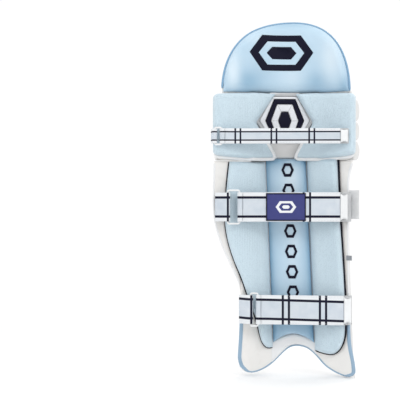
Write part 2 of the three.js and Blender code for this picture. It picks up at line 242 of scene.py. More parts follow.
def strip(name, left, right, low, high, face, material, ends, radius=None, side=1, base=BACK, cols=14,
          step=6.0, rim=0.8, power=2.0, end_power=2.0, relief=None, place=shell, to_front=None):
    """A padded piece on the shell: x runs from left(z) to right(z) and z from low(s) to high(s).
    It stands from the base offset to the face offset on one side of the shell."""
    x, z, across, along, half = panel_grid(left, right, low, high, cols, step, ends)
    crown = rounding(across, radius or half, power) * rounding(along, ends, end_power)
    under = base(x, z) if callable(base) else np.full_like(x, base)
    height = rim + (face - under - rim) * crown
    if relief is not None:
        height = height + relief(x, z, across, along) * crown
    back = place(x, z, side * under)
    if to_front is None:
        front = place(x, z, side * (under + np.maximum(height, 0.4)))
    else:
        front = to_front(x, z, back, height / (face - base))
    verts, faces = between_grids(front, back)
    return new_object(name, verts, faces, material)


def ring_faces(rings, sides, closed=False):
    """Faces between rings of points along a tube, with a cap at each end unless it is closed."""
    faces = []
    for i in range(rings if closed else rings - 1):
        j = (i + 1) % rings
        for k in range(sides):
            m = (k + 1) % sides
            faces.append((i * sides + k, i * sides + m, j * sides + m, j * sides + k))
    if not closed:
        faces.append(tuple(range(sides - 1, -1, -1)))
        faces.append(tuple((rings - 1) * sides + k for k in range(sides)))
    return faces


def round_loop(name, points, radius, material, sides=10):
    """A round tube along a closed loop of row-frame points."""
    tangent = np.roll(points, -1, 0) - np.roll(points, 1, 0)
    tangent /= np.linalg.norm(tangent, axis=1)[:, None]
    u = np.cross(tangent[0], (0.0, 0.0, 1.0))
    if np.linalg.norm(u) < 0.1:
        u = np.cross(tangent[0], (1.0, 0.0, 0.0))
    steady = []
    for t in tangent:
        u = u - t * np.dot(u, t)
        u /= np.linalg.norm(u)
        steady.append(u)
    u = np.array(steady)[:, None, :]
    v = np.cross(tangent, steady)[:, None, :]
    angle = np.linspace(0, math.tau, sides, endpoint=False)[None, :, None]
    ring = np.cos(angle) * u + np.sin(angle) * v
    verts = (points[:, None, :] + ring * (radius / 1000.0)).reshape(-1, 3)
    return new_object(name, verts, ring_faces(len(points), sides, closed=True), material)


def resample(points, step, rounds=0):
    """Points at an even step along a path, with its corners rounded off first."""
    points = np.asarray(points, float)
    for _ in range(rounds):
        cut = [points[0]]
        for p, q in zip(points[:-1], points[1:]):
            cut += [p * 0.75 + q * 0.25, p * 0.25 + q * 0.75]
        points = np.array(cut + [points[-1]])
    gaps = np.linalg.norm(np.diff(points, axis=0), axis=1)
    run = np.concatenate([[0], np.cumsum(gaps)])
    count = max(2, int(run[-1] / step) + 1)
    at = np.linspace(0, run[-1], count)
    return np.stack([np.interp(at, run, points[:, k]) for k in range(points.shape[1])], axis=1)


def normals_along(path):
    """Unit normals on the left of a flat path."""
    tangent = np.gradient(path, axis=0)
    tangent /= np.linalg.norm(tangent, axis=1)[:, None]
    return np.stack([-tangent[:, 1], tangent[:, 0]], 1)


def ribbon(name, plan, z, width, thick, material, step, rounds, bow=None):
    """Webbing on edge: a band of some width that follows plan points, centred at height z."""
    path = resample(plan, step, rounds)
    normal = normals_along(path)
    half, edge = width / 2, min(thick, 2.2) * 0.5
    upper = np.array([half - edge * 1.5, half - edge * 0.4, half])
    heights = np.concatenate([-upper[::-1], [0], upper])
    depth = np.array([0.35, 0.8, 1.0, 1.0, 1.0, 0.8, 0.35]) * thick / 2
    run = np.concatenate([[0], np.cumsum(np.linalg.norm(np.diff(path, axis=0), axis=1))])
    lift = np.zeros(len(path)) if bow is None else bow(run / run[-1])
    sides = []
    for sign in (1, -1):
        at = path[:, None, :] + normal[:, None, :] * (sign * depth[None, :, None] + lift[:, None, None])
        zz = np.broadcast_to(z + heights[None, :], at.shape[:2])
        sides.append(row(np.concatenate([at, zz[:, :, None]], axis=2)))
    verts, faces = between_grids(*sides)
    return new_object(name, verts, faces, material)


def stitches(name, paths, material, length, gap, radius):
    """Short raised threads along row-frame paths, as one piece."""
    sides = 5
    verts, faces = [], []
    for path in paths:
        fine = resample(np.asarray(path) * 1000.0, 1.0)
        for i in range(0, len(fine) - length - 1, length + gap):
            a, b = fine[i], fine[i + length]
            t = (b - a) / np.linalg.norm(b - a)
            u = np.cross(t, (0.31, 0.2, 0.93))
            u /= np.linalg.norm(u)
            v = np.cross(t, u)
            faces += [tuple(len(verts) + k for k in face) for face in ring_faces(4, sides)]
            for p, r in ((a, 0.5), (a + t * 0.6, 1.0), (b - t * 0.6, 1.0), (b, 0.5)):
                for k in range(sides):
                    angle = math.tau * k / sides
                    verts.append((p + (u * math.cos(angle) + v * math.sin(angle)) * radius * r) / 1000.0)
    return new_object(name, verts, faces, material)


def piping(name, xs, zs, offset, wide, thick, material, step=5.0, rounds=2, sides=8):
    """A cord or binding sewn along a line on the shell, wide and thick being its half sizes along
    and off the shell. An array of widths goes with points that are evenly spaced already."""
    path = np.stack([xs, zs], 1)
    if not isinstance(wide, np.ndarray):
        path = resample(path, step, rounds)
    normal = normals_along(path)
    angle = np.linspace(0, math.tau, sides, endpoint=False)
    taper = np.ones(len(path))
    taper[[0, -1]] = 0.35
    across, deep = (v(path[:, 1]) if callable(v) else v for v in (wide, thick))
    reach = (across * taper)[:, None] * np.cos(angle)[None, :]
    lift = (deep * taper)[:, None] * np.sin(angle)[None, :]
    level = offset(path[:, :1], path[:, 1:]) if callable(offset) else offset
    x = path[:, :1] + normal[:, :1] * reach
    z = path[:, 1:] + normal[:, 1:] * reach
    verts = shell(x, z, level + lift).reshape(-1, 3)
    return new_object(name, verts, ring_faces(len(path), sides), material)


def place_piece(obj, body, slot, nodes=()):
    """Rides a piece on its body and hides the CAD nodes it stands for; the finish it is given is not used."""
    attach(obj, body)
    declare(obj, slot, nodes)


def declare(obj, slot, nodes=()):
    if nodes:
        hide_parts(*nodes)


# ---------------------------------------------------------------- materials
def linear(r, g, b):
    def channel(c):
        c /= 255.0
        return c / 12.92 if c <= 0.04045 else ((c + 0.055) / 1.055) ** 2.4

    return (channel(r), channel(g), channel(b), 1.0)


def darker(colour, share):
    return [c * share for c in colour[:3]] + [1.0]


class Nodes:
    """A node-based material, built in short calls."""

    def __init__(self, name, rough, **sockets):
        self.material = bpy.data.materials.new(name)
        self.material.use_nodes = True
        self.tree = self.material.node_tree
        self.shader = self.tree.nodes["Principled BSDF"]
        self.shader.inputs["Roughness"].default_value = rough
        for key, value in sockets.items():
            self.shader.inputs[key.replace("_", " ")].default_value = value
        self.place = self.add("ShaderNodeTexCoord").outputs["Object"]

    def add(self, kind, inputs=None, **settings):
        node = self.tree.nodes.new(kind)
        for key, value in settings.items():
            setattr(node, key, value)
        for key, value in (inputs or {}).items():
            if isinstance(value, bpy.types.NodeSocket):
                self.tree.links.new(value, node.inputs[key])
            else:
                node.inputs[key].default_value = value
        return node

    def math(self, operation, a, b=0.0, c=0.0, clamp=False):
        node = self.add("ShaderNodeMath", {0: a, 1: b, 2: c}, operation=operation, use_clamp=clamp)
        return node.outputs[0]

    def times(self, a, b, clamp=False):
        return self.math("MULTIPLY", a, b, clamp=clamp)

    def minus(self, a, b):
        return self.math("SUBTRACT", a, b)

    def wave(self, value, pitch):
        return self.math("SINE", self.times(value, math.tau / pitch))

    def axes(self):
        split = self.add("ShaderNodeSeparateXYZ", {0: self.place})
        return split.outputs[0], split.outputs[1], split.outputs[2]

    def texture(self, kind, output, stretch, **inputs):
        spot = self.add("ShaderNodeMapping", {"Vector": self.place, "Scale": stretch})
        return self.add(kind, {"Vector": spot.outputs[0], **inputs}).outputs[output]

    def noise(self, scale, detail=2.0, stretch=(1, 1, 1), rough=0.5):
        return self.texture("ShaderNodeTexNoise", 0, stretch, Scale=scale, Detail=detail, Roughness=rough)

    def cells(self, scale, stretch=(1, 1, 1)):
        return self.texture("ShaderNodeTexVoronoi", "Distance", stretch, Scale=scale)

    def ramp(self, value, low, high):
        made = self.add("ShaderNodeMapRange", {0: value, 1: low, 2: high, 3: 0.0, 4: 1.0},
                        interpolation_type="SMOOTHSTEP")
        return made.outputs[0]

    def mix(self, factor, a, b):
        made = self.add("ShaderNodeMix", {0: factor, 6: a, 7: b}, data_type="RGBA")
        return made.outputs[2]

    def colour(self, value):
        self.tree.links.new(value, self.shader.inputs["Base Color"])

    def rough(self, value):
        self.tree.links.new(value, self.shader.inputs["Roughness"])

    def bump(self, height, distance, strength=1.0):
        node = self.add("ShaderNodeBump", {"Height": height, "Distance": distance, "Strength": strength})
        self.tree.links.new(node.outputs[0], self.shader.inputs["Normal"])

    def sum(self, first, *others):
        for other in others:
            first = self.math("ADD", first, other)
        return first

    def weave(self, pitch):
        """Two crossed sets of threads, as a height from 0 to 1."""
        x, _, z = self.axes()
        return self.math("MULTIPLY_ADD", self.times(self.wave(x, pitch), self.wave(z, pitch)), 0.5, 0.5)


def coated_cloth(name, base, soil, rough=0.46):
    """Smooth polyurethane-coated cloth: fine grain, faint creases and slight scuffing."""
    n = Nodes(name, rough, Specular_IOR_Level=0.35, Coat_Weight=0.06, Coat_Roughness=0.35)
    patches = n.noise(14.0, 4.0)
    smudge = n.ramp(n.noise(45.0, 3.0), 0.52, 0.75)
    clean = n.mix(n.ramp(patches, 0.3, 0.7), base, darker(base, 0.965))
    n.colour(n.mix(n.times(smudge, 0.16), clean, soil))
    grain = n.cells(1500.0)
    crease = n.noise(60.0, 5.0, (1.0, 1.0, 0.45), 0.55)
    n.rough(n.math("MULTIPLY_ADD", patches, 0.16, rough - 0.08))
    n.bump(n.sum(n.times(grain, 0.22), n.times(crease, 0.9)), 0.0009, 0.55)
    return n.material


def spacer_mesh(name, base, shade):
    """Knitted spacer mesh: rows of small round openings over a lighter ground."""
    n = Nodes(name, 0.82, Sheen_Weight=0.25, Sheen_Roughness=0.5)
    holes = n.ramp(n.cells(620.0, (1.0, 1.0, 0.8)), 0.18, 0.42)
    ribs = n.wave(n.axes()[0], 0.0034)
    drift = n.ramp(n.noise(9.0, 3.0), 0.32, 0.7)
    ground = n.mix(n.times(drift, 0.55), base, darker(base, 0.93))
    n.colour(n.mix(n.math("MULTIPLY_ADD", holes, -0.42, 0.42), ground, shade))
    n.bump(n.sum(holes, n.times(ribs, 0.2), n.times(n.noise(40.0, 4.0), 1.3)), 0.0007, 0.7)
    return n.material


def satin(name, bright, deep, pale, painted_shade_spots, painted_highlight_spots, edge=None):
    """Satin: a sky blue with soft random mottling, painted shade in broad soft places and towards the sides
    of an optional centre line, painted highlights in others, and a fine lengthwise thread.
    """
    n = Nodes(name, 0.34, Specular_IOR_Level=0.5, Sheen_Weight=0.3, Sheen_Roughness=0.3, Anisotropic=0.4)
    x, _, z = n.axes()

    def spots(places):
        total = 0.0
        for px, pz, rx, rz, amount in places:
            dx = n.math("DIVIDE", n.minus(x, px / 1000), rx / 1000)
            dz = n.math("DIVIDE", n.minus(z, (pz - CALF_Z) / 1000), rz / 1000)
            away = n.sum(n.times(dx, dx), n.times(dz, dz))
            glow = n.math("POWER", 2.718, n.times(away, -1.0))
            total = n.sum(total, n.times(glow, amount))
        return total

    cloud = n.noise(11.0, 2.0, (1.0, 1.0, 0.7))
    # Darkening towards the deep colour: random mottling plus painted shade at the shade spots.
    mottle_and_shade = n.math("MULTIPLY_ADD", cloud, 0.5, n.sum(spots(painted_shade_spots), -0.2))
    # Painted shade that grows towards both sides of a centre line, given as its middle, lean and half width.
    if edge is not None:
        middle, lean, half = edge
        centre = n.math("MULTIPLY_ADD", z, lean, middle / 1000)
        aside = n.math("DIVIDE", n.math("ABSOLUTE", n.minus(x, centre)), half / 1000)
        mottle_and_shade = n.sum(mottle_and_shade, n.times(n.math("POWER", aside, 3.0), 0.75))
    tone = n.mix(n.times(mottle_and_shade, 1.0, clamp=True), bright, deep)
    # Paling towards the pale colour at the highlight spots is a painted highlight.
    n.colour(n.mix(n.times(spots(painted_highlight_spots), 1.0, clamp=True), tone, pale))
    thread = n.wave(x, 0.0008)
    folds = n.noise(26.0, 4.0, (1.0, 1.0, 0.5))
    n.rough(n.math("MULTIPLY_ADD", cloud, 0.14, 0.27))
    n.bump(n.sum(n.times(thread, 0.12), n.times(folds, 1.6)), 0.0009, 0.6)
    return n.material


def plain_woven(name, base, rough, pitch, strength=0.6):
    n = Nodes(name, rough, Sheen_Weight=0.06, Specular_IOR_Level=0.2)
    woven = n.weave(pitch)
    tone = n.ramp(n.noise(120.0, 3.0), 0.3, 0.7)
    n.colour(n.mix(n.sum(n.times(woven, 0.25), n.times(tone, 0.3)), base, darker(base, 0.8)))
    n.bump(woven, 0.0004, strength)
    return n.material


def moulded(name, base, rough, metallic=0.0, specular=0.5):
    n = Nodes(name, rough, Metallic=metallic, Specular_IOR_Level=specular)
    tone = n.noise(30.0, 3.0)
    n.colour(n.mix(n.ramp(tone, 0.3, 0.7), base, darker(base, 0.94)))
    n.rough(n.math("MULTIPLY_ADD", n.noise(300.0, 3.0), 0.16, rough - 0.08))
    n.bump(n.noise(900.0, 2.0), 0.0002, 0.3)
    return n.material


def plaid_webbing(strap, line_at, line_half, crossings, tilt, crossing_half):
    """Woven webbing: white edges, a pale blue centre, two navy lines and navy cross stripes, in mm."""
    n = Nodes(f"plaid_{strap.name}", 0.75, Sheen_Weight=0.05, Specular_IOR_Level=0.15)
    x, _, z = n.axes()
    across = n.sum(n.minus(z, (strap.z - CALF_Z) / 1000), n.times(x, tilt))

    def stripe(value, centre, half):
        away = n.math("ABSOLUTE", n.minus(value, centre / 1000))
        return n.minus(1.0, n.ramp(away, half * 0.75 / 1000, half * 1.2 / 1000))

    navy = 0.0
    for centre in (line_at, -line_at):
        navy = n.math("MAXIMUM", navy, stripe(across, centre, line_half))
    for centre in crossings:
        navy = n.math("MAXIMUM", navy, stripe(x, centre, crossing_half))
    cloudy = n.math("MULTIPLY_ADD", n.noise(55.0, 3.0), 0.9, 0.35)
    pale = n.mix(n.times(stripe(across, 0.0, line_at), cloudy), WEB_WHITE, WEB_BLUE)
    woven = n.weave(0.0016)
    pale = n.mix(n.times(woven, 0.16), pale, WEB_GREY)
    n.colour(n.mix(navy, pale, n.mix(woven, NAVY, NAVY_THREAD)))
    n.bump(n.sum(woven, n.times(navy, 0.5)), 0.0005, 0.7)
    return n.material


WEB_WHITE = linear(229, 232, 235)
WEB_BLUE = linear(196, 206, 216)
WEB_GREY = linear(190, 196, 204)
NAVY = linear(12, 13, 32)
NAVY_THREAD = linear(24, 25, 48)

OUTER_WHITE = coated_cloth("outer_cover", linear(218, 218, 217), linear(170, 171, 172))
INNER_WHITE = coated_cloth("inner_cover", linear(231, 229, 226), linear(190, 186, 180), 0.5)
EDGE_WHITE = coated_cloth("edge_binding", linear(229, 230, 231), linear(180, 182, 186), 0.5)
MESH_BLUE = spacer_mesh("blue_mesh", linear(197, 215, 225), linear(150, 172, 186))
# Satin colours: base, painted shade, painted highlight, then the painted shade spots and painted highlight
# spots (x, z, reach across, reach up, amount). The channel also takes painted shade towards its sides from a
# centre line (x, lean, half width).
SATIN_TOP = satin(
    "top_hat_satin", linear(184, 209, 226), linear(132, 170, 196), linear(216, 230, 239),
    [(99, 612, 34, 26, 0.8), (-45, 610, 30, 24, 0.7), (-100, 600, 12, 20, 0.7), (20, 733, 60, 8, 0.4)],
    [(-72, 655, 20, 45, 0.7), (128, 630, 14, 36, 0.75), (5, 622, 24, 22, 0.35), (60, 700, 50, 12, 0.4)])
SATIN_CHANNEL = satin(
    "channel_satin", linear(184, 209, 226), linear(112, 157, 188), linear(222, 234, 242),
    [(20, 452, 60, 16, 0.8), (0, 110, 50, 40, 0.55)], [(10, 400, 18, 50, 0.6), (3, 270, 14, 60, 0.35)],
    (15.9, 0.0436, 42.5))
PALE_BINDING = coated_cloth("pale_blue_binding", linear(146, 172, 194), linear(120, 146, 170), 0.4)
NAVY_CLOTH = plain_woven("navy_piping", NAVY, 0.7, 0.0008, 0.3)
NAVY_FILM = moulded("navy_film", linear(15, 15, 36), 0.5, specular=0.12)
THREAD = plain_woven("sewing_thread", linear(214, 218, 222), 0.8, 0.0006)
LOOP = plain_woven("loop_pile", linear(214, 216, 218), 0.95, 0.0007, 1.0)
RING_WHITE = moulded("ring_plastic", linear(228, 230, 231), 0.3)
SILVER = moulded("silver_film", linear(178, 180, 182), 0.34, 0.35)
CUP_WHITE = moulded("cup_white", linear(226, 228, 232), 0.32)
LABEL = plain_woven("side_label", linear(226, 227, 228), 0.8, 0.0008)
TAB_GREY = plain_woven("side_tab", linear(150, 154, 160), 0.8, 0.0008)
INDIGO = plain_woven("indigo_patch", linear(64, 68, 126), 0.6, 0.0009)
FOAM = plain_woven("foam", linear(224, 225, 223), 0.9, 0.004)
CANE = plain_woven("cane_rod", linear(196, 160, 104), 0.55, 0.006, 0.3)
SATIN_EDGE = coated_cloth("satin_edge", linear(128, 166, 196), linear(110, 146, 178), 0.36)
CUP_GREY = moulded("cup_grey", linear(208, 207, 206), 0.42)

# ---------------------------------------------------------------- outlines, in drawing millimetres
ARCH = [(-122, 24), (-121.5, 12), (-118, 4.5), (-108, 0.8), (-89, 5), (-72, 13), (-59, 22), (-47, 36),
        (-34, 49), (-21, 57), (-4, 60), (11, 57.5), (23, 49), (36, 36), (48, 24), (66, 12), (86, 5.5),
        (102, 8), (113, 16), (118, 31)]
SEAM_TOP, SEAM_FOOT = (92.5, 447.0), (114.0, 165.0)
seam_x = line([SEAM_FOOT[1], SEAM_TOP[1]], [SEAM_FOOT[0], SEAM_TOP[0]])
shin_edge = smooth_line([0, 12, 32, 62, 120, 250, 400, 430, 446],
                        [-121.5, -121.5, -119.5, -113.5, -110, -109, -109, -111, -118])
lobe_edge = smooth_line([0, 20, 37, 70, 115, 165], [117.5, 118, 118.5, 116.5, 114.5, 113.5])
wing_edge = smooth_line([165, 192, 225, 262, 297, 325, 400, 446],
                        [112.5, 118, 131, 148.5, 160.5, 167.5, 168.5, 167])
arch_z = smooth_line([x for x, _ in ARCH], [z for _, z in ARCH])


def wing_side_edge(z):
    """The shin sheet's edge on the wing side: free down the lobe and a fold line above it."""
    z = np.asarray(z, float)
    return np.where(z < 165, lobe_edge(z), seam_x(z))


def bezier(points, count=60):
    t = np.linspace(0, 1, count)[:, None]
    p = np.array(points, float)
    return (1 - t) ** 3 * p[0] + 3 * (1 - t) ** 2 * t * p[1] + 3 * (1 - t) * t**2 * p[2] + t**3 * p[3]


CROWN = np.concatenate([bezier([(-111, TOP_Z), (-110, 648), (-92, CROWN_Z), (5, CROWN_Z)])[:-1],
                        bezier([(5, CROWN_Z), (120, CROWN_Z), (151.5, 655), (151.5, TOP_Z)])])


def crown_z(x, inset=0.0):
    """Height of the top hat's edge over x, or of a line inset from it."""
    middle = np.array([20.0, TOP_Z])
    reach = np.linalg.norm(CROWN - middle, axis=1)[:, None]
    edge = middle + (CROWN - middle) * (1 - inset / reach)
    return np.interp(np.asarray(x, float), edge[:, 0], edge[:, 1])


# Positions of the seams between canes, at heights up the pad.
CANE_SEAMS = {
    413.5: (-103, -81.5, -57.5, -30, 3, 36, 63, 88),
    224.0: (-105, -81.5, -54.5, -23, 9.5, 40, 70, 95),
    2.0: (-114, -83, -49, -16, 17, 52, 85, 111),
}
TOP_SEAMS = {
    584.0: (-109, -92, -68.5, -41.5, -12.5, 22, 53, 80),
    650.0: (-109, -92, -66, -37, -13.5, 18, 50, 76),
    738.0: (-109, -99, -78, -36, -16, 17, 47, 80),
}
cane_seam, top_seam = ([smooth_line(list(table), xs) for xs in zip(*table.values())]
                       for table in (CANE_SEAMS, TOP_SEAMS))
SINK = 0.4  # how far each pad stands back from its seam
INSTEP_TOP, CANE_TOP, CAP_TOP = 136.5, 414.0, 446.5
CANE_FACE, TOP_CANE_FACE, CAP_FACE, ROLL_FACE = 21.5, 19.5, 27.0, 36.0  # offsets of the padded faces


def soft_folds(amount, scale, seed, stretch=1.0):
    return lambda x, z, across, along: amount * wave_noise(x, z * stretch, scale, seed)


def beside(seams, i):
    """The two sides of the pad between seams i and i + 1."""
    return (lambda z: seams[i](z) + SINK), (lambda z: seams[i + 1](z) - SINK)


def outer_pad(name, left, right, low, high, face, ends, **form):
    """A white padded piece on the outer face."""
    return strip(name, left, right, low, high, face, OUTER_WHITE, ends, side=-1, place=skin, **form)


# ---------------------------------------------------------------- outer face
def shin_cane(i):
    left, right = beside(cane_seam, i)

    def along_arch(s):
        return arch_z(left(20.0) + (right(20.0) - left(20.0)) * s) + 7.0

    over_instep = 2 <= i <= 4
    low = INSTEP_TOP if over_instep else along_arch
    piece = outer_pad(f"shin_cane_{i + 1}", left, right, low, CANE_TOP, CANE_FACE, 12.0, power=1.5,
                      rim=10.0, cols=17, relief=soft_folds(0.5, 55.0, 10 + i, 0.5))
    place_piece(piece, "pad", "white_cover", [f"shin_cane_cover_{i + 1}"])


def top_cane(i):
    left, right = beside(top_seam, i)

    def high(s):
        z = np.full_like(s, 660.0)
        for _ in range(30):
            x = left(z) + (right(z) - left(z)) * s
            z = 0.6 * z + 0.4 * np.maximum(crown_z(x, 5.0), 586.0)
        return z

    piece = outer_pad(f"top_cane_{i + 1}", left, right, 583.0, high, TOP_CANE_FACE, 9.0, power=1.5,
                      rim=9.0, cols=17, relief=soft_folds(0.4, 40.0, 30 + i, 0.5))
    place_piece(piece, "top_hat", "white_cover", [f"top_hat_cane_{i + 1}"])


def top_side_pad():
    piece = outer_pad("top_side_pad", lambda z: top_seam[7](z) + 1.5, 144.5, 584.0,
                      lambda s: np.maximum(crown_z(79.5 + 69 * s, 3.0), 586.5), 11.0, 10.0, radius=14.0,
                      relief=soft_folds(0.5, 45.0, 41))
    place_piece(piece, "top_hat", "white_cover", ["top_hat_side_pad"])


def cane_caps():
    """The row of raised caps, each gathered near its rim, on a low band."""
    def gathered(x, z, across, along):
        return -2.4 * np.exp(-(((across - 4.5) / 2.0) ** 2))

    caps = []
    for i in range(7):
        x0, x1 = (side(413.5) for side in beside(cane_seam, i))
        caps.append(outer_pad(f"cap_{i}", x0, x1, CANE_TOP + 1.5, CAP_TOP, CAP_FACE, 10.0, radius=12.0,
                              rim=11.0, power=1.6, cols=18, step=3.0, relief=gathered))
    caps.append(outer_pad("cap_band", -104.0, 90.0, 413.0, 447.0, 9.0, 5.0, radius=5.0, cols=40))
    place_piece(join("cane_caps", caps), "pad", "white_cover", ["cane_cap_row"])


ROLLS = {"lower": (447.5, 492.0), "middle": (492.5, 532.0), "upper": (532.5, 577.5)}
ROLL_SPAN = (-117.0, 161.0)
DIMPLES = (-62, -29, 1, 40, 69, 107)


def knee_roll(level, z0, z1):
    """A stuffed roll across the knee, gathered at its ends and tied down at each dimple."""
    def droop(s):
        return 7.0 * (2 * s - 1) ** 2 - 2.5

    def dents(x, z, across, along):
        total = 0.8 * wave_noise(x, z, 38.0, 50)
        for d in DIMPLES:
            total = total - 4.2 * np.exp(-(((x - d) / 4.2) ** 2) - ((z - 0.5 * (z0 + z1)) / 5.5) ** 2)
            total = total - 1.3 * np.exp(-(((x - d) / 2.6) ** 2))
        return total

    foot = z0 if level == "lower" else (lambda s: z0 - droop(s))
    piece = outer_pad(f"knee_roll_{level}_pad", *ROLL_SPAN, foot, lambda s: z1 - droop(s) - 0.8,
                      ROLL_FACE, (z1 - z0) / 2, radius=12.0, rim=9.0, cols=90, step=3.5, power=2.6,
                      end_power=2.6, relief=dents)
    place_piece(piece, "pad", "white_cover", [f"knee_roll_{level}"])


def instep_panel():
    piece = strip("instep_cover", -51.0, 37.0, lambda s: arch_z(-51 + 88 * s) + 7.0, 137.0, 10.0, OUTER_WHITE,
                  6.0, radius=6.0, side=-1, cols=24, relief=soft_folds(0.5, 30.0, 61))
    place_piece(piece, "pad", "white_cover", ["instep_panel"])


def hexagon(cx, cz, half_wide, half_tall, flat, down=None):
    """Corners of a six-sided outline with a point to either side."""
    down = down or half_tall
    return [(cx + half_wide, cz), (cx + flat, cz + half_tall), (cx - flat, cz + half_tall),
            (cx - half_wide, cz), (cx - flat, cz - down), (cx + flat, cz - down)]


def plate(name, outline, offset, height, material, inner=None, side=1, steps=6, place=shell, bevel=0.06):
    """A raised plate over an outline on the shell, or a frame where an inner outline is given."""
    outer = np.array(outline, float)
    target = np.array(inner, float) if inner is not None else np.tile(outer.mean(0), (len(outer), 1))
    profile = [(0.0, 0.0), (0.0, 0.5), (bevel, 0.95), (2.2 * bevel, 1.0), (0.5, 1.0)]
    if inner is None:
        profile.append((0.8, 1.0))
    else:
        profile += [(1 - 2.2 * bevel, 1.0), (1 - bevel, 0.95), (1.0, 0.5), (1.0, 0.0)]
    loops = []
    for part, lift in profile:
        corner = outer * (1 - part) + target * part
        after = np.roll(corner, -1, 0)
        points = np.stack([corner + (after - corner) * m / steps for m in range(steps)], 1).reshape(-1, 2)
        level = offset(points[:, 0], points[:, 1]) if callable(offset) else offset
        loops.append(place(points[:, 0], points[:, 1], side * (level + height * lift)))
    faces = ring_faces(len(loops), len(loops[0]), closed=inner is not None)
    return new_object(name, np.concatenate(loops), faces, material)


def shield(grow):
    xs = np.linspace(-38 - grow, 27 + grow, 14)
    bow = 1 - ((xs + 5.5) / (32.5 + grow)) ** 2
    top, low = 106 + grow + 8 * bow, 78 - grow - 9 * bow
    return list(zip(xs, top)) + list(zip(xs[::-1], low[::-1]))


def instep_badge():
    silver = plate("badge_plate", shield(0.0), 10.3, 1.6, SILVER, side=-1, steps=1, bevel=0.03)
    rim = plate("badge_rim", shield(0.6), 10.3, 2.6, SILVER, inner=shield(-2.4), side=-1, steps=1)
    ring = plate("badge_ring", hexagon(-5.5, 91.5, 24, 14, 13.5), 11.7, 0.9, NAVY_FILM,
                 inner=hexagon(-5.5, 91.5, 17, 8.8, 9.2), side=-1)
    core = plate("badge_core", hexagon(-5.5, 91.5, 9.2, 4.8, 5), 11.7, 0.9, NAVY_FILM, side=-1)
    place_piece(silver, "pad", "silver", ["instep_badge"])
    place_piece(rim, "pad", "silver")
    for mark in (ring, core):
        place_piece(mark, "pad", "navy")


# ---------------------------------------------------------------- sheets at the middle of the shell
def sheet_cover(name, left, right, low, high, out_face, in_face, material, cols=40, step=7.0, edge=3.0,
                seed=1):
    """A soft sheet with the shell's mid surface inside it and a rounded rim."""
    x, z, across, along, _ = panel_grid(left, right, low, high, cols, step, edge)
    crown = 0.15 + 0.85 * rounding(np.minimum(across, along), edge)
    ripple = 1 + 0.06 * wave_noise(x, z, 46.0, seed)
    outward = out_face(z) if callable(out_face) else out_face
    swell = crown * ripple
    verts, faces = between_grids(shell(x, z, -outward * swell), shell(x, z, in_face * swell))
    sheet = new_object(name, verts, faces, material)
    sheet.data.materials.append(OUTER_WHITE)
    for face in sheet.data.polygons:
        face.material_index = int(face.normal.y < -0.1)
    return sheet


def band_corner(s):
    """How far the knee sheet's edge comes in as it nears a corner."""
    return 14 * np.abs(2 * s - 1) ** 24


def sheets():
    shin = sheet_cover("shin_cover", shin_edge, wing_side_edge, lambda s: arch_z(-121.5 + 239.5 * s), 446.4,
                       2.9, 2.9, INNER_WHITE, cols=64)
    knee = sheet_cover("knee_cover", -121.5, 166.5, lambda s: 447.2 + band_corner(s),
                       lambda s: 586 - band_corner(s), 2.9, 2.9, INNER_WHITE)
    top = sheet_cover("top_hat_cover", -111.5, 151.0, 586.8, lambda s: crown_z(-111.5 + 262.5 * s), 2.9, 2.9,
                      OUTER_WHITE, cols=64)
    wing = sheet_cover("wing_cover", lambda z: seam_x(z) + 0.8,
                       lambda z: np.maximum(wing_edge(z), seam_x(z) + 1.6), 172.0, 445.6,
                       line([172, 262], [2.0, 9.5]), 2.9, INNER_WHITE, cols=24, edge=7.0, seed=3)
    place_piece(shin, "pad", "white_cover", ["shin_backing"])
    place_piece(knee, "pad", "white_cover", ["knee_backing"])
    place_piece(top, "top_hat", "white_cover", ["top_hat_backing"])
    place_piece(wing, "calf_wing", "white_cover", ["wing_backing"])


SEAM_LEAN = np.array([SEAM_TOP[1] - SEAM_FOOT[1], 0, SEAM_FOOT[0] - SEAM_TOP[0]], float)
SEAM_LEAN /= np.linalg.norm(SEAM_LEAN)


def across_wing_seam(piece):
    """Bakes a piece's placing into its mesh; it is not bent at the fold line between the shin and the wing.
    """
    middle = shell(0.5 * (SEAM_TOP[0] + SEAM_FOOT[0]), 0.5 * (SEAM_TOP[1] + SEAM_FOOT[1]), 0.0)
    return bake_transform(piece)


def gussets():
    """Hidden cloth that keeps the fold lines closed as the wing and the top hat turn."""
    wing = sheet_cover("wing_gusset", lambda z: seam_x(z) - 12,
                       lambda z: np.minimum(seam_x(z) + 13, wing_edge(z) - 2), 175.0, 445.0, 1.6, 1.6,
                       INNER_WHITE, cols=14, step=9.0)
    declare(across_wing_seam(wing), "white_cover")
    top = sheet_cover("top_hat_gusset", -108.0, 146.0, 573.0, 600.0, 1.6, 1.6, OUTER_WHITE, cols=36, step=3.0)
    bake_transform(top)
    declare(top, "white_cover")


# ---------------------------------------------------------------- leg side
BOLSTER_FACE, FLAP_FACE = 19.5, 26.5
BOLSTER_TOP = 452.0
wall_outer = line([60, 450], [-40, -22])
wall_wing = line([60, 450], [47, 63])
bolster_edge = smooth_line([95, 101, 160, 238, 318, 452], [-102, -102, -101, -97, -92, -86])
FOOT_X, FOOT_Z, FOOT_WIDE, FOOT_TALL = -72.0, 45.0, 30.0, 55.0  # rounded lower corner of the outer bolster


def bolster_foot(x):
    corner = np.clip((FOOT_X - x) / FOOT_WIDE, 0, 1)
    rise = np.clip((x - FOOT_X) / 32.0, 0, 1)
    return FOOT_Z + FOOT_TALL * (1 - np.sqrt(1 - corner**2)) + 7.0 * rise**2


wing_bolster_edge = smooth_line([95, 103, 150, 181, 204, 242, 284, 323, 391, 452],
                                [79.5, 79.5, 94, 104, 112, 127.5, 140, 145.5, 142, 135.5])
wing_bolster_foot = smooth_line([47, 55, 64, 71.5, 79.5], [57, 56, 60, 72.5, 104])


def arch_bow(s):
    """Height of the line where the channel pad meets the arch facing."""
    return 18.5 * np.sin(math.pi * s) ** 0.9


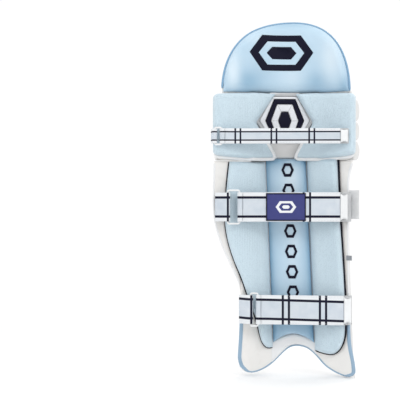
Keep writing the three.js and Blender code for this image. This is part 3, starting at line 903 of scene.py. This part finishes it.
def channel():
    def to_front(x, z, back, crown):
        """The pad's face lies flat where the shin rests, with a few soft creases."""
        flat = row(np.stack([x, np.full_like(x, SHIN_FACE_Y), z], -1))
        crease = 0.35 * wave_noise(x, z * 0.6, 30.0, 71) + 0.25 * wave_noise(x, z, 14.0, 72)
        crease = crease + 0.7 * np.exp(-(((x - 28 - (z - 92) * 0.7) / 5.0) ** 2) - ((z - 92) / 13.0) ** 2)
        front = back + (flat - back) * np.clip(crown, 0.05, 1.05)[..., None]
        front[..., 1] += crease * np.clip(crown, 0, 1) / 1000
        return front

    piece = strip("shin_channel", lambda z: wall_outer(z) + 0.6, lambda z: wall_wing(z) - 0.6,
                  lambda s: 66 + arch_bow(s), BOLSTER_TOP, SHIN_FACE_Y, SATIN_CHANNEL, 9.0,
                  radius=13.0, cols=28, step=5.0, to_front=to_front)
    place_piece(piece, "pad", "blue_satin", ["shin_channel_pad"])


def bolsters():
    outer = strip("outer_bolster", bolster_edge, lambda z: wall_outer(z) - 0.6,
                  lambda s: bolster_foot(-102 + 61.5 * s), BOLSTER_TOP, BOLSTER_FACE, MESH_BLUE, 11.0,
                  radius=15.0, cols=26, relief=soft_folds(0.5, 45.0, 81, 0.6))
    place_piece(outer, "pad", "blue_mesh", ["shin_bolster_outer"])
    wing = strip("wing_bolster_pad", lambda z: wall_wing(z) + 0.6, wing_bolster_edge,
                 lambda s: wing_bolster_foot(47.6 + 31.9 * s), 445.3, BOLSTER_FACE, MESH_BLUE, 11.0,
                 radius=16.0, cols=34, relief=soft_folds(0.5, 45.0, 82, 0.6))
    declare(across_wing_seam(wing), "blue_mesh", ["shin_bolster_wing_side", "wing_bolster"])


def bolster_piping():
    z = np.array([452, 420, 390, 340, 290, 238, 200, 160, 120, 104])
    turn = np.linspace(0, math.pi / 2, 12)
    along = np.array([-64.0, -56.0, -48.0, -41.0])
    xs = np.concatenate([bolster_edge(z) - 1.4, FOOT_X - (FOOT_WIDE + 1.4) * np.cos(turn), along])
    zs = np.concatenate([z, FOOT_Z + FOOT_TALL - (FOOT_TALL + 1.4) * np.sin(turn), bolster_foot(along) - 1.4])
    cord = piping("outer_bolster_piping", xs, zs, 4.8, line([50, 130, 330, 452], [1.0, 2.0, 2.0, 3.0]), 2.4,
                  NAVY_CLOTH, step=3.5)
    place_piece(cord, "pad", "navy")
    z = np.array([445, 420, 391, 323, 284, 242, 204, 181, 150, 120, 104])
    foot_x = np.linspace(79, 48, 10)
    xs = np.concatenate([wing_bolster_edge(z) + 1.0, foot_x])
    zs = np.concatenate([z, wing_bolster_foot(foot_x) - 1.2])
    cord = piping("wing_bolster_piping", xs, zs, 4.2, 1.3, 1.7, NAVY_CLOTH, rounds=1)
    declare(across_wing_seam(cord), "navy")


def arch_facing():
    piece = strip("arch_facing", -43.0, 50.0, lambda s: arch_z(-43 + 93 * s) + 2.0,
                  lambda s: 65 + arch_bow(s), 8.5, EDGE_WHITE, 7.0, radius=22.0, cols=36, step=3.0, rim=0.1,
                  power=1.15)
    place_piece(piece, "pad", "white_cover", ())


def bindings():
    """Cloth folded over the free edges."""
    down, up = np.linspace(112, 24, 8), np.linspace(34, 128, 8)
    edge = np.concatenate([np.stack([shin_edge(down), down], 1), np.array(ARCH[1:-1], float),
                           np.stack([lobe_edge(up), up], 1)])
    path = resample(edge, 3.0, 1)
    half = 2.3 + 2.7 * eased((np.abs(path[:, 0] + 2) - 96) / 16)  # wider up the sides of the lobes
    middle = path + normals_along(path) * (half - 1.4)[:, None]
    blue = piping("lobe_binding", *middle.T, 0.0, half, 3.8, PALE_BINDING)
    place_piece(blue, "pad", "white_cover")
    z = np.linspace(112, 444, 12)
    rim = piping("outer_rim_binding", shin_edge(z) + 1.5, z, 0.0, 3.2, 3.5, EDGE_WHITE)
    place_piece(rim, "pad", "white_cover")
    z = np.array([444, 420, 400, 360, 325, 297, 262, 225, 200, 184])
    wing = piping("wing_binding", wing_edge(z) - 2.0, z, lambda x, z: np.interp(z, [184, 262], [0.3, -3.0]),
                  line([184, 215], [0.8, 3.4]), line([184, 262], [2.6, 6.4]), EDGE_WHITE)
    place_piece(wing, "calf_wing", "white_cover")
    crown = piping("top_hat_binding", CROWN[::4, 0], CROWN[::4, 1] - 0.8, 3.0, 2.1, 2.6, SATIN_EDGE)
    place_piece(crown, "top_hat", "blue_satin")


def side_label():
    """A blank woven label sewn into the outer rim, and a small grey tab lower down."""
    label = plate("side_label", rectangle(-119.0, 356.0, 10.5, 29.5), 0.5, 0.9, LABEL, steps=6)
    place_piece(label, "pad", "white_cover")
    tab = plate("side_tab", rectangle(-109.5, 246.0, 5.5, 5.0), 3.4, 0.9, TAB_GREY, steps=3)
    place_piece(tab, "pad", "webbing")


def top_lining():
    """A thick satin pad, puckered along its seam on the wing side."""
    def stuffed(x, z, across, along):
        near_seam = np.exp(-(((along - 5.0) / 2.4) ** 2)) * (x > 95)
        pucker = 0.5 + 0.5 * np.sin(x * 0.9 + z * 0.7)
        return 0.7 * wave_noise(x, z, 90.0, 91) - 0.9 * near_seam * pucker

    piece = strip("top_hat_satin_pad", -109.0, 148.5, 589.5,
                  lambda s: np.maximum(crown_z(-109 + 257.5 * s, 2.0), 590.0), 16.5, SATIN_TOP, 22.0,
                  radius=34.0, cols=64, step=5.0, power=1.9, relief=stuffed)
    place_piece(piece, "top_hat", "blue_satin", ["top_hat_lining"])


def top_mark():
    """A plain nested hexagon in navy film on the lining's face."""
    ring = plate("top_mark_ring", hexagon(29, 672, 66, 37, 40), 16.2, 1.3, NAVY_FILM,
                 inner=hexagon(29, 672, 47, 24, 29), steps=10)
    core = plate("top_mark_core", hexagon(29, 672, 31, 13, 19.5), 16.2, 1.3, NAVY_FILM, steps=8)
    for mark in (ring, core):
        place_piece(mark, "top_hat", "navy")


def channel_marks():
    """A column of plain hexagon rings down the channel."""
    marks = []
    for k in range(7):
        z = 428 - 42.5 * k
        x = 0.5 * (wall_outer(z) + wall_wing(z)) - 3
        marks.append(plate(f"mark_{k}", hexagon(x, z, 13, 14, 7), 0.0, 1.0, NAVY_FILM,
                           inner=hexagon(x, z, 7.6, 8.2, 4.2), steps=3, place=on_channel))
    place_piece(join("channel_marks", marks), "pad", "navy")


def on_channel(x, z, offset):
    return row(np.stack([x, SHIN_FACE_Y + 0.2 + offset + 0 * x, z], -1))


# ---------------------------------------------------------------- knee band
CUP_X, CUP_Z = 22.5, 528.0
flap_wing_inner = line([453.5, 526, 585], [39.5, 82, 42.5])
flap_outer_inner = line([453.5, 526, 585], [3.0, -36.0, -1.0])


def over_cup(x, z):
    """Base of the flaps: they lie on the cup and come down to the sheet away from it."""
    away = np.abs(x - CUP_X) - 66.0
    return 3.3 + 10.9 * (1 - np.clip(away / 18.0, 0, 1)) ** 2


def flap_corner(s):
    """Rise of a flap's edge in its rounded outer corner."""
    corner = np.clip((s - 0.91) / 0.09, 0, 1)
    return 9.0 * (1 - np.sqrt(1 - corner**2))


def sag(s):
    """A flap's lower edge from its inner end, s = 0, to its outer corner, s = 1."""
    return 452.5 + 5.0 * s**2 - 2.0 * np.sin(math.pi * s) + flap_corner(s)


def lift(s):
    """A flap's upper edge, the same way along."""
    return 587.0 - 3.5 * s**2 + 1.5 * np.sin(math.pi * s) - flap_corner(s)


def knee_flaps():
    def flap(name, left, right, low, high):
        return strip(name, left, right, low, high, FLAP_FACE, MESH_BLUE, 9.0, radius=12.0,
                     base=over_cup, cols=36, relief=soft_folds(0.5, 60.0, 101, 0.7))

    wing = flap("knee_flap_wing_pad", flap_wing_inner, 169.5, sag, lift)
    outer = flap("knee_flap_outer_pad", -122.5, flap_outer_inner, lambda s: sag(1 - s), lambda s: lift(1 - s))
    place_piece(wing, "pad", "blue_mesh", ["knee_flap_wing_side"])
    place_piece(outer, "pad", "blue_mesh", ["knee_flap_outer"])

    def cup_level(x, z):
        return over_cup(x, z) + 5.5

    z = np.array([507, 500, 478, 456])
    s = np.array([0.03, 0.15, 0.35, 0.55, 0.75, 0.9, 0.95, 0.98])
    zs = np.concatenate([z, sag(s) - 1.5])
    for name, xs in (("wing", [flap_wing_inner(z) + 1.5, 40 + 129.5 * s]),
                     ("outer", [flap_outer_inner(z) - 1.5, 2 - 124.5 * s])):
        edge = piping(f"knee_flap_{name}_piping", np.concatenate(xs), zs, cup_level, 3.9, 5.0, EDGE_WHITE,
                      rounds=1)
        place_piece(edge, "pad", "white_cover")


def knee_cup():
    def ring(name, outer, inner, offset, height, material, slot):
        made = plate(name, hexagon(CUP_X, CUP_Z + 3, *outer), offset, height, material,
                     inner=hexagon(CUP_X, CUP_Z + 3, *inner) if inner else None, steps=10)
        place_piece(made, "pad", slot)

    outline = [(63, 0), (28, 58), (-28, 58), (-63, 0), (-22, -76), (22, -76)]
    base = plate("knee_cup_shell", [(CUP_X + x, CUP_Z + z) for x, z in outline], 3.1, 6.4, CUP_GREY, steps=12,
                 bevel=0.03)
    place_piece(base, "pad", "silver", ["knee_cup"])
    white = (CUP_WHITE, "white_plastic")
    navy = (NAVY_FILM, "navy")
    ring("knee_cup_bevel", (62, 59, 30, 46), (52.5, 51, 26, 44), 8.9, 4.4, SILVER, "silver")
    ring("knee_cup_white_outer", (52, 50.5, 25.7, 43.6), (40.6, 45.8, 22.4, 42), 8.6, 3.9, *white)
    ring("knee_cup_navy_ring", (40.2, 45.4, 22.2, 41.6), (28.8, 35, 16, 35), 8.4, 4.6, *navy)
    ring("knee_cup_white_inner", (28.4, 34.6, 15.8), (13.8, 19.2, 7.2), 8.4, 3.6, *white)
    ring("knee_cup_core", (13.3, 18.6, 6.8), None, 8.6, 5.0, *navy)
    ribs = []
    for corner in range(6):
        inner, outer = (hexagon(CUP_X, CUP_Z + 3, *v)[corner] for v in ((14.5, 20, 7.6), (27.6, 33.8, 15.3)))
        route = np.linspace(inner, outer, 5)
        ribs.append(piping(f"rib_{corner}", *route.T, 12.0, 0.45, 0.5, SILVER, rounds=0, step=3.0, sides=6))
    place_piece(join("knee_cup_ribs", ribs), "pad", "silver")


# ---------------------------------------------------------------- straps
class Strap:
    """Plan positions along a strap: s from the ring's near bar, n outward from the leg."""

    def __init__(self, name, z, width, ring, flap_end, anchor, crest, bar, tab):
        self.name, self.z, self.width, self.ring, self.tab, self.anchor = name, z, width, ring, tab, anchor
        self.bar = np.array(bar, float)
        run = self.bar - np.array(crest, float)
        self.span = np.linalg.norm(run)
        self.along = run / self.span
        self.out = np.array([-self.along[1], self.along[0]])
        self.far = ring[0] - BAR
        self.flap = self.bar[0] - flap_end

    def at(self, s, n):
        return self.bar + self.along * s + self.out * n

    def around(self, s, facing, turn):
        """The webbing's way round a bar, from beneath to above."""
        angles = np.linspace(-math.pi / 2, math.pi / 2, 9)
        return [self.at(s + facing * turn * math.cos(a), turn * math.sin(a)) for a in angles]

    def web(self, name, points, material, width=None, step=1.6, rounds=2, bow=None):
        return ribbon(f"{self.name}_{name}", points, self.z, width or self.width, WEB, material, step,
                      rounds, bow)


BAR, WEB, GAP = 4.0, 2.0, 0.5  # a ring's bar, webbing and the play between them
TURN = BAR / 2 + WEB / 2 + GAP  # radius of the webbing's middle round a bar
LOOSE = TURN + GAP  # the same for the tab, in which the ring swings
LAP = GAP + WEB - TURN  # level of the free end where it lies on the base
STRAPS = [
    Strap("knee", 495.5, 31.0, (18.5, 38), -91, (-121, 62), (-102, 77), (149.5, 90), ((168, 69), (172, 74))),
    Strap("calf", 351.0, 60.0, (28, 72), -91, (-113, 50), (-96, 65), (114, 77), ((162, 67), (164, 73))),
    Strap("ankle", 140.0, 60.0, (19, 71), -98, (-114, 50), (-102, 66), (77, 60.5), ((114, 46), (116, 51))),
]
HOME = {"knee": ("pad", "pad", "pad"), "calf": ("calf_strap_run", "calf_strap_loop", "calf_wing"),
        "ankle": ("pad", "pad", "pad")}


def ring_frame(strap):
    """A moulded ring with rounded corners and round bars."""
    corner = 3.2
    wide, tall = strap.far / 2 - corner, strap.ring[1] / 2 - BAR / 2 - corner
    points = []
    for quarter, (side, end) in enumerate(((1, 1), (-1, 1), (-1, -1), (1, -1))):
        for turn in np.radians(90 * quarter + np.linspace(0, 90, 6)):
            spot = strap.at(strap.far / 2 + side * wide + corner * math.cos(turn), 0)
            points.append((*spot, strap.z + end * tall + corner * math.sin(turn)))
    fine = resample(points + points[:1], 2.0)[:-1]
    return round_loop(f"{strap.name}_ring_frame", row(fine), BAR / 2, RING_WHITE)


def strap_pieces(strap, plaid):
    name, at = strap.name, strap.at
    base_body, ring_body, tab_body = HOME[name]
    turned = [at(-6, -TURN)] + strap.around(0, 1, TURN) + [at(-6, TURN)]
    if name == "calf":
        under = TURN + WEB + 2 * GAP
        base = strap.web("base_web", [strap.anchor, at(-strap.span, -under), at(-3, -under)], LOOP)
        turn = strap.web("turn_web", [at(-22, -TURN)] + turned, plaid, step=1.0, rounds=1)
        place_piece(turn, ring_body, "webbing", ["calf_strap_turn"])
    else:
        route = [strap.anchor, at(-strap.span, -TURN)] + turned
        base = strap.web("base_web", route, plaid, step=1.2, rounds=1)
        base.data.materials.append(LOOP)
        pile_end = row(np.append(at(-20, 0), strap.z))[0]
        for face in base.data.polygons:
            face.material_index = int(face.center.x < pile_end)
    place_piece(base, base_body, "loop_pile", [f"{name}_strap_base"])
    place_piece(ring_frame(strap), ring_body, "white_plastic", [f"{name}_ring"])
    root, end = strap.tab
    looped = [at(strap.far + 4, -LOOSE)] + strap.around(strap.far, -1, LOOSE) + [at(strap.far + 4, LOOSE)]
    tab = strap.web("tab_web", [root] + looped + [end], plaid, strap.width - 1, step=1.0, rounds=1)
    place_piece(tab, tab_body, "webbing", [f"{name}_ring_tab"])
    free = f"{name}_strap_free_end"

    def wavy(run):
        return 0.35 * np.sin(run * 17.0 + strap.z) * np.sin(math.pi * run)

    route = [at(-6.6, TURN), at(-24, LAP), at(-strap.flap, LAP)]
    flap = strap.web("flap_web", route, plaid, step=3.0, rounds=3, bow=wavy)
    place_piece(flap, free, "webbing", [f"{name}_strap_flap"])
    under = LAP - WEB / 2 - 0.1
    route = [at(4 - strap.flap, under), at(74 - strap.flap, under)]
    hooks = ribbon(f"{name}_hook_patch", route, strap.z, strap.width - 7, 0.4, LOOP, 3.0, 0)
    place_piece(hooks, free, "loop_pile")
    place_piece(tip_piece(strap), free, "white_plastic", [f"{name}_strap_tip"])
    rows = []
    for edge in (-1, 1):
        spots = [at(s, LAP + WEB / 2 - 0.05) for s in np.linspace(-28, -strap.flap + 3, 12)]
        rows.append(row([(p[0], p[1], strap.z + edge * (strap.width / 2 - 2.6)) for p in spots]))
    sewing = stitches(f"{name}_flap_stitches", rows, THREAD, 3, 3, 0.34)
    place_piece(sewing, free, "webbing")


def tip_piece(strap):
    """A folded, moulded end with waisted sides, gripped to open the strap."""
    half, long = strap.width / 2 - 2, 14.5
    thick = 1.7 * np.array([0.75, 1, 1.05, 0.95, 0.9, 0.95, 1.1, 1.0, 0.5])
    s = np.linspace(0, long, len(thick))
    waist = half * (1 - 0.16 * np.sin(math.pi * s / long))
    waist[0] *= 0.97
    waist[-1] *= 0.9
    v = np.linspace(-1, 1, 11)
    sides = []
    for sign in (1, -1):
        level = LAP + 0.5 + sign * thick[:, None] * (1 - 0.6 * np.abs(v) ** 6)
        place = -strap.flap - GAP - s[:, None, None]
        plan = strap.bar + strap.along * place + strap.out * level[:, :, None]
        sides.append(row(np.concatenate([plan, (strap.z + waist[:, None] * v)[:, :, None]], 2)))
    verts, faces = between_grids(*sides)
    return new_object(f"{strap.name}_tip_grip", verts, faces, RING_WHITE)


def calf_label(strap):
    """An indigo patch with a darker edge and a plain hexagon ring."""
    level = LAP + WEB / 2 + 1
    route = [strap.at(-54, level), strap.at(-135, level)]
    patch = ribbon("calf_label_patch", route, strap.z, 57, 1.2, INDIGO, 3.0, 0)
    place_piece(patch, "calf_strap_free_end", "navy", ["calf_strap_label"])

    def on_patch(x, z, offset):
        spot = strap.bar + np.outer(x - strap.bar[0], strap.along) + np.outer(level + 0.5 + offset, strap.out)
        return row(np.column_stack([spot, z]))

    def film(name, outline, material, slot, inner=None):
        piece = plate(f"calf_label_{name}", outline, 0.0, 0.7, material, inner=inner, place=on_patch, steps=3)
        place_piece(piece, "calf_strap_free_end", slot)

    x, z = strap.bar[0] - 94.5, strap.z
    film("border", rectangle(x, z, 40.5, 28.2), NAVY_CLOTH, "navy", inner=rectangle(x, z, 38.2, 25.9))
    film("ring", hexagon(x, z, 21, 12, 12.5), CUP_WHITE, "white_plastic", inner=hexagon(x, z, 14.6, 7.4, 8.8))
    film("core", hexagon(x, z, 8.2, 3.6, 4.8), CUP_WHITE, "white_plastic")


def rectangle(cx, cz, half_wide, half_tall):
    return [(cx + sx * half_wide, cz + sz * half_tall) for sx, sz in ((-1, -1), (1, -1), (1, 1), (-1, 1))]


for i in range(7):
    shin_cane(i)
    top_cane(i)
top_side_pad()
cane_caps()
for level, (z0, z1) in ROLLS.items():
    knee_roll(level, z0, z1)
instep_panel()
instep_badge()
sheets()
gussets()
channel()
bolsters()
bolster_piping()
arch_facing()
bindings()
side_label()
top_lining()
top_mark()
channel_marks()
knee_flaps()
knee_cup()

# Each strap's navy lines either side of its middle, their half width, its cross stripes, the slope
# of the weave and the half width of a cross stripe.
PLAIDS = {
    "knee": (8.5, 1.5, (122, 111.5, 49, 38.5, -27.5, -38), 0.0, 1.8),
    "calf": (19.5, 2.6, (137.5, 125.5, -16.5, -29.5), 0.0, 2.2),
    "ankle": (19.5, 2.6, (90.5, 26, 13.5, -49.5, -62), -0.02, 2.4),
}
for strap in STRAPS:
    strap_pieces(strap, plaid_webbing(strap, *PLAIDS[strap.name]))
calf_label(STRAPS[1])

# ---------------------------------------------------------------- nodes that stay, floor, lights, camera
for name, node in frame["nodes"].items():
    material = CANE if "rod" in name else FOAM
    if not node.data.materials:
        node.data.materials.append(material)
    for i in range(len(node.data.materials)):
        node.data.materials[i] = material


def floor():
    """White ground that takes a soft shadow near the pad and fades to the white of the background."""
    ring = [(math.cos(a) * 4.0, math.sin(a) * 4.0, 0.0) for a in np.linspace(0, math.tau, 64, endpoint=False)]
    n = Nodes("floor", 0.9, Emission_Color=(1, 1, 1, 1), Specular_IOR_Level=0.0)
    x, y, _ = n.axes()
    away = n.math("SQRT", n.sum(n.times(x, x), n.times(y, y)))
    far = n.ramp(away, 0.35, 1.1)
    near = n.mix(n.noise(3.0, 2.0), (0.9, 0.9, 0.9, 1), (0.93, 0.93, 0.93, 1))
    n.colour(n.mix(far, near, (0, 0, 0, 1)))
    n.tree.links.new(n.times(far, 1.02), n.shader.inputs["Emission Strength"])
    disc = new_object("floor", ring, [tuple(range(64))], n.material)
    disc.location.z = -CALF_Z / 1000 - 0.0015


def area_light(name, place, aim, power, size, colour=(1, 1, 1)):
    data = bpy.data.lights.new(name, "AREA")
    data.energy, data.size, data.color = power, size, colour
    lamp = bpy.data.objects.new(name, data)
    lamp.location = place
    lamp.rotation_euler = (Vector(aim) - Vector(place)).to_track_quat("-Z", "Y").to_euler()
    bpy.context.scene.collection.objects.link(lamp)


def studio():
    world = bpy.data.worlds.new("studio")
    world.use_nodes = True
    background = world.node_tree.nodes["Background"]
    background.inputs[0].default_value = (1.0, 1.0, 1.0, 1.0)
    background.inputs[1].default_value = 1.02
    bpy.context.scene.world = world
    area_light("key", (-1.3, 2.0, 1.7), (0, 0, 0), 16, 0.9)
    area_light("side", (2.2, 1.4, 0.5), (0, 0, 0), 6, 0.8, (0.97, 0.98, 1.0))
    area_light("front_key", (-1.2, -2.2, 1.6), (0, 0, 0), 16, 0.9)
    area_light("top", (0, 0.2, 2.4), (0, 0, 0), 6, 1.2)
    bpy.context.scene.view_settings.view_transform = "Standard"
    bpy.context.scene.view_settings.look = "None"


def camera():
    data = bpy.data.cameras.new("camera")
    data.lens, data.sensor_width = 95.8, 36.0
    data.clip_start, data.clip_end = 0.05, 50.0
    cam = bpy.data.objects.new("camera", data)
    cam.location = (0.0, 2.23, 0.0143)
    cam.rotation_euler = (Vector((0.1975, 0.03, 0.0143)) - cam.location).to_track_quat("-Z", "Y").to_euler()
    bpy.context.scene.collection.objects.link(cam)
    bpy.context.scene.camera = cam


floor()
studio()
camera()
